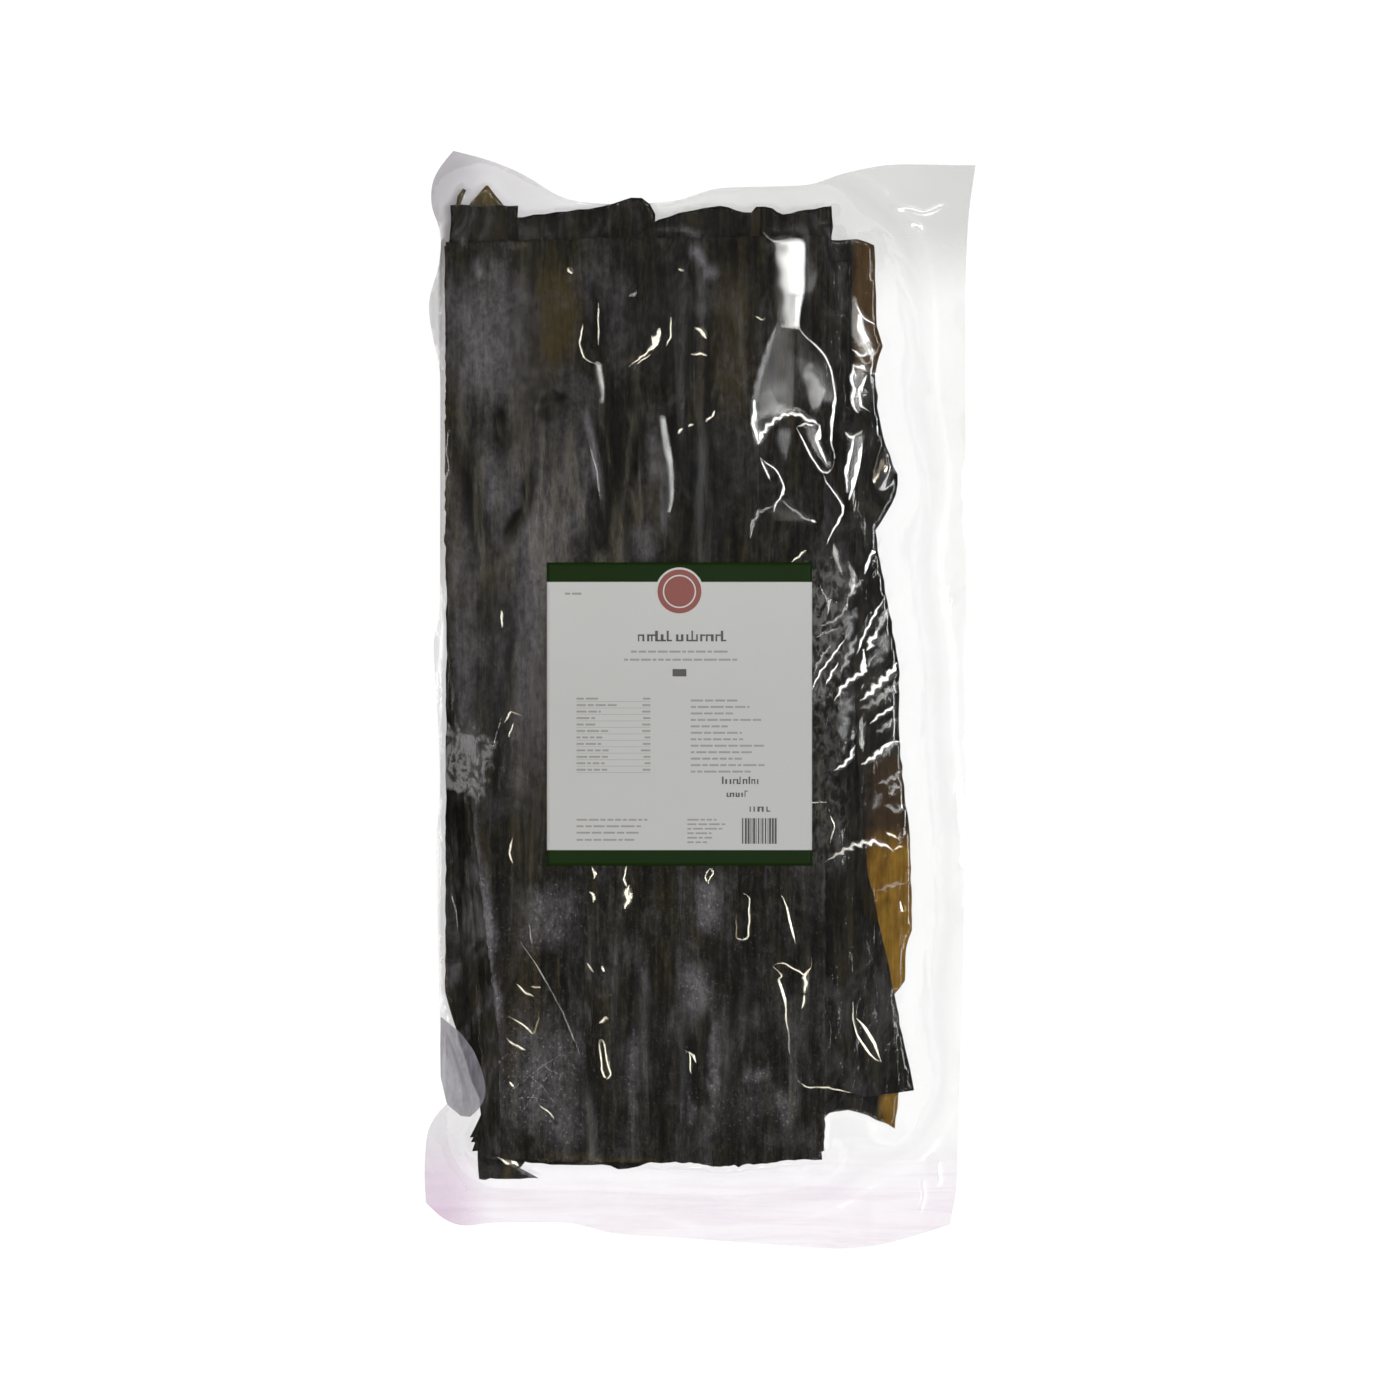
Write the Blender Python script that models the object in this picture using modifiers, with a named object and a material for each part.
"""Sealed clear bag of dried kelp sheets, lying flat, with a paper label stuck on its upper film.

Metres, +Z up, with the origin under the middle of the bag. +Y runs to its top end and +X to its
heat-sealed right edge. The film takes the form of the stack inside: a main pile, longer sheets
that reach past both its ends, and lower, wider sheets along its right. It slopes from each step
of the stack to the bag's edge, where the upper and lower films meet.
"""

import bmesh
import bpy
import numpy as np

MM = 0.001

# The bag's edges in millimetres, each a smooth line. The sides hold (y, x) and the ends (x, y).
LEFT_EDGE = (
    (-226, -113), (-219, -119.8), (-205, -120.3), (-184, -118.2), (-176, -109), (-168, -107),
    (-156, -111.2), (-143, -113.4), (-108, -114.2), (-65, -115.1), (-35, -113.4), (0, -115),
    (26, -116.4), (38, -113.5), (143, -113.4), (157, -116.4), (172, -118.6), (193, -113.4),
    (204, -113), (214, -117), (223, -117.7), (233, -113.4), (239.8, -107.7),
)  # fmt: skip
RIGHT_EDGE = (
    (-229, 109), (-213, 111.9), (-187, 112.7), (-109, 114.9), (0, 116.2), (174, 115.8),
    (209, 117.1), (233.5, 120.3),
)  # fmt: skip
BOTTOM_EDGE = (
    (-113, -226), (-104, -229.8), (-90, -228.2), (-60, -228), (-37, -233), (-9, -234.8),
    (30, -237.6), (62, -239.6), (78, -238), (95, -233.5), (109, -229),
)  # fmt: skip
TOP_EDGE = (
    (-107.7, 239.8), (-93, 236), (-78, 230), (-57, 218.4), (-40, 216.6), (-13, 217.6),
    (9, 223.6), (47, 224.8), (62, 229.8), (87, 233.9), (120.3, 233.5),
)  # fmt: skip

# The stack's steps in millimetres: left, right, bottom and top side, and height.
MAIN_PILE = (-111, 54, -200, 201, 25.5)
LONG_SHEETS = (-109, 57, -207, 214, 20)
WIDE_SHEETS = (-111, 84, -178, 199, 17.5)
STEPS = (MAIN_PILE, LONG_SHEETS, WIDE_SHEETS)
RIGHT_LEAN = {WIDE_SHEETS: -0.045}  # how far a right side moves in +X for each millimetre of +Y

SEAL_THICKNESS = 1.2 * MM  # the two films where they meet, with the air between them
FILM_SAG = 1.5  # over 1, the slope from the stack to the bag's edge hangs hollow
PLEAT_HEIGHT, PLEAT_PITCH, PLEAT_BEND = 0.7 * MM, 41 * MM, 160 * MM  # folds along the sheets
RIPPLE_HEIGHT, RIPPLE_PITCH = 1.8 * MM, 23 * MM  # puckers in the loose film round the stack
BAG_CELLS = (40, 72)

LABEL_CENTRE = (-8.9 * MM, -6.1 * MM)
LABEL_SIZE = (114.8 * MM, 131.3 * MM)
LABEL_THICKNESS = 0.4 * MM
LABEL_GAP = 0.4 * MM
LABEL_CELLS = (15, 15)

FILM_OVER_KELP = {"colour": (0.045, 0.04, 0.032, 1), "roughness": 0.18}
PAPER = {"colour": (0.5, 0.51, 0.49, 1), "roughness": 0.5}


def smooth_value(line, at):
    """The line's second number where its first is `at`, on cubics that turn only at its points."""
    along, across = np.array(line, float).T
    steep = np.diff(across) / np.diff(along)
    turning = np.maximum(steep[:-1] * steep[1:], 0) / (abs(steep[:-1]) + abs(steep[1:]) + 1e-9)
    slope = np.concatenate([steep[:1], 2 * np.sign(steep[:-1]) * turning, steep[-1:]])
    i = np.clip(np.searchsorted(along, at) - 1, 0, len(along) - 2)
    span = along[i + 1] - along[i]
    f = (at - along[i]) / span
    rise = slope[i] * f * (1 - f) ** 2 - slope[i + 1] * f * f * (1 - f)
    return across[i] * (1 + 2 * f) * (1 - f) ** 2 + across[i + 1] * f * f * (3 - 2 * f) + rise * span


def side_point(line, share):
    """A point on the left or right edge, at a share of its height."""
    y = line[0][0] + share * (line[-1][0] - line[0][0])
    return np.stack([smooth_value(line, y), y], -1)


def end_point(line, share):
    """A point on the bottom or top edge, at a share of its width."""
    x = line[0][0] + share * (line[-1][0] - line[0][0])
    return np.stack([x, smooth_value(line, x)], -1)


def plan_point(u, v):
    """Where a point of the unit square lies in the bag's outline, and its room to the edge."""
    left, right = side_point(LEFT_EDGE, v), side_point(RIGHT_EDGE, v)
    bottom, top = end_point(BOTTOM_EDGE, u), end_point(TOP_EDGE, u)
    zero, one = np.zeros(1), np.ones(1)
    corners = [[side_point(line, end) for end in (zero, one)] for line in (LEFT_EDGE, RIGHT_EDGE)]
    u, v = u[:, None], v[:, None]
    bilinear = (1 - u) * ((1 - v) * corners[0][0] + v * corners[0][1])
    bilinear = bilinear + u * ((1 - v) * corners[1][0] + v * corners[1][1])
    point = (1 - u) * left + u * right + (1 - v) * bottom + v * top - bilinear
    width = (right - left)[:, :1] * np.minimum(u, 1 - u)
    height = (top - bottom)[:, 1:] * np.minimum(v, 1 - v)
    return point * MM, np.minimum(width, height)[:, 0] * MM


def share_of_step(step, x, y, room):
    """1 over a step of the stack, falling to 0 at the bag's edge."""
    left, right, bottom, top = (side * MM for side in step[:4])
    right = right + RIGHT_LEAN.get(step, 0) * y
    past_side = np.maximum(np.maximum(left - x, x - right), 0)
    past_end = np.maximum(np.maximum(bottom - y, y - top), 0)
    past = np.hypot(past_side, past_end)
    return (room / np.maximum(room + past, 1e-9)) ** FILM_SAG


def film_height(x, y, room):
    """The upper film's height over the table."""
    shares = [share_of_step(step, x, y, room) for step in STEPS]
    heights = [step[4] * MM * share for step, share in zip(STEPS, shares)]
    loose = 4 * shares[0] * (1 - shares[0])
    turn = 2 * np.pi
    pleat = np.cos(turn * x / PLEAT_PITCH + np.sin(turn * y / PLEAT_BEND)) * shares[0]
    ripple = 1 + np.sin(turn * (x + y) / RIPPLE_PITCH) * np.cos(turn * (x - 2 * y) / RIPPLE_PITCH / 2)
    return (
        SEAL_THICKNESS
        + np.max(heights, axis=0)
        + PLEAT_HEIGHT * pleat
        + RIPPLE_HEIGHT / 2 * ripple * loose
    )


def shaped_grid(cells, place):
    """A grid primitive whose unit square is carried to place(u, v)."""
    grid = bmesh.new()
    bmesh.ops.create_grid(grid, x_segments=cells[0], y_segments=cells[1], size=0.5)
    u, v = (np.array([vert.co[axis] + 0.5 for vert in grid.verts]) for axis in (0, 1))
    for vert, point in zip(grid.verts, place(u, v)):
        vert.co = point
    return grid


def upper_film(u, v):
    plan, room = plan_point(u, v)
    x, y = plan.T
    return np.stack([x, y, film_height(x, y, room)], -1)


def label_back(u, v):
    x = LABEL_CENTRE[0] + (u - 0.5) * LABEL_SIZE[0]
    y = LABEL_CENTRE[1] + (v - 0.5) * LABEL_SIZE[1]
    return np.stack([x, y, film_height(x, y, np.ones_like(x)) + LABEL_GAP], -1)


def close_to_table(grid):
    """Carries the open rim straight down to the table and fills the underside flat."""
    rim = [edge for edge in grid.edges if edge.is_boundary]
    made = bmesh.ops.extrude_edge_only(grid, edges=rim)["geom"]
    for vert in (item for item in made if isinstance(item, bmesh.types.BMVert)):
        vert.co.z = 0
    low = [item for item in made if isinstance(item, bmesh.types.BMEdge) and item.is_boundary]
    bmesh.ops.contextual_create(grid, geom=low)
    bmesh.ops.recalc_face_normals(grid, faces=grid.faces)


def material(name, look):
    made = bpy.data.materials.new(name)
    made.use_nodes = True
    shader = made.node_tree.nodes["Principled BSDF"]
    shader.inputs["Base Color"].default_value = look["colour"]
    shader.inputs["Roughness"].default_value = look["roughness"]
    shader.inputs["Metallic"].default_value = 0
    return made


def add_object(name, grid, look, collection):
    mesh = bpy.data.meshes.new(name)
    grid.to_mesh(mesh)
    grid.free()
    mesh.shade_smooth()
    mesh.materials.append(material(f"{name}_material", look))
    made = bpy.data.objects.new(name, mesh)
    collection.objects.link(made)
    return made


def add_bag(collection):
    grid = shaped_grid(BAG_CELLS, upper_film)
    close_to_table(grid)
    bag = add_object("bag", grid, FILM_OVER_KELP, collection)
    bag.data.set_sharp_from_angle(angle=np.radians(50))


def add_label(collection):
    label = add_object("label", shaped_grid(LABEL_CELLS, label_back), PAPER, collection)
    paper = label.modifiers.new("paper", "SOLIDIFY")
    paper.thickness = LABEL_THICKNESS
    paper.offset = 1


def main():
    for item in list(bpy.data.objects):
        bpy.data.objects.remove(item)
    collection = bpy.data.collections.new("kelp_bag")
    bpy.context.scene.collection.children.link(collection)
    add_bag(collection)
    add_label(collection)


main()
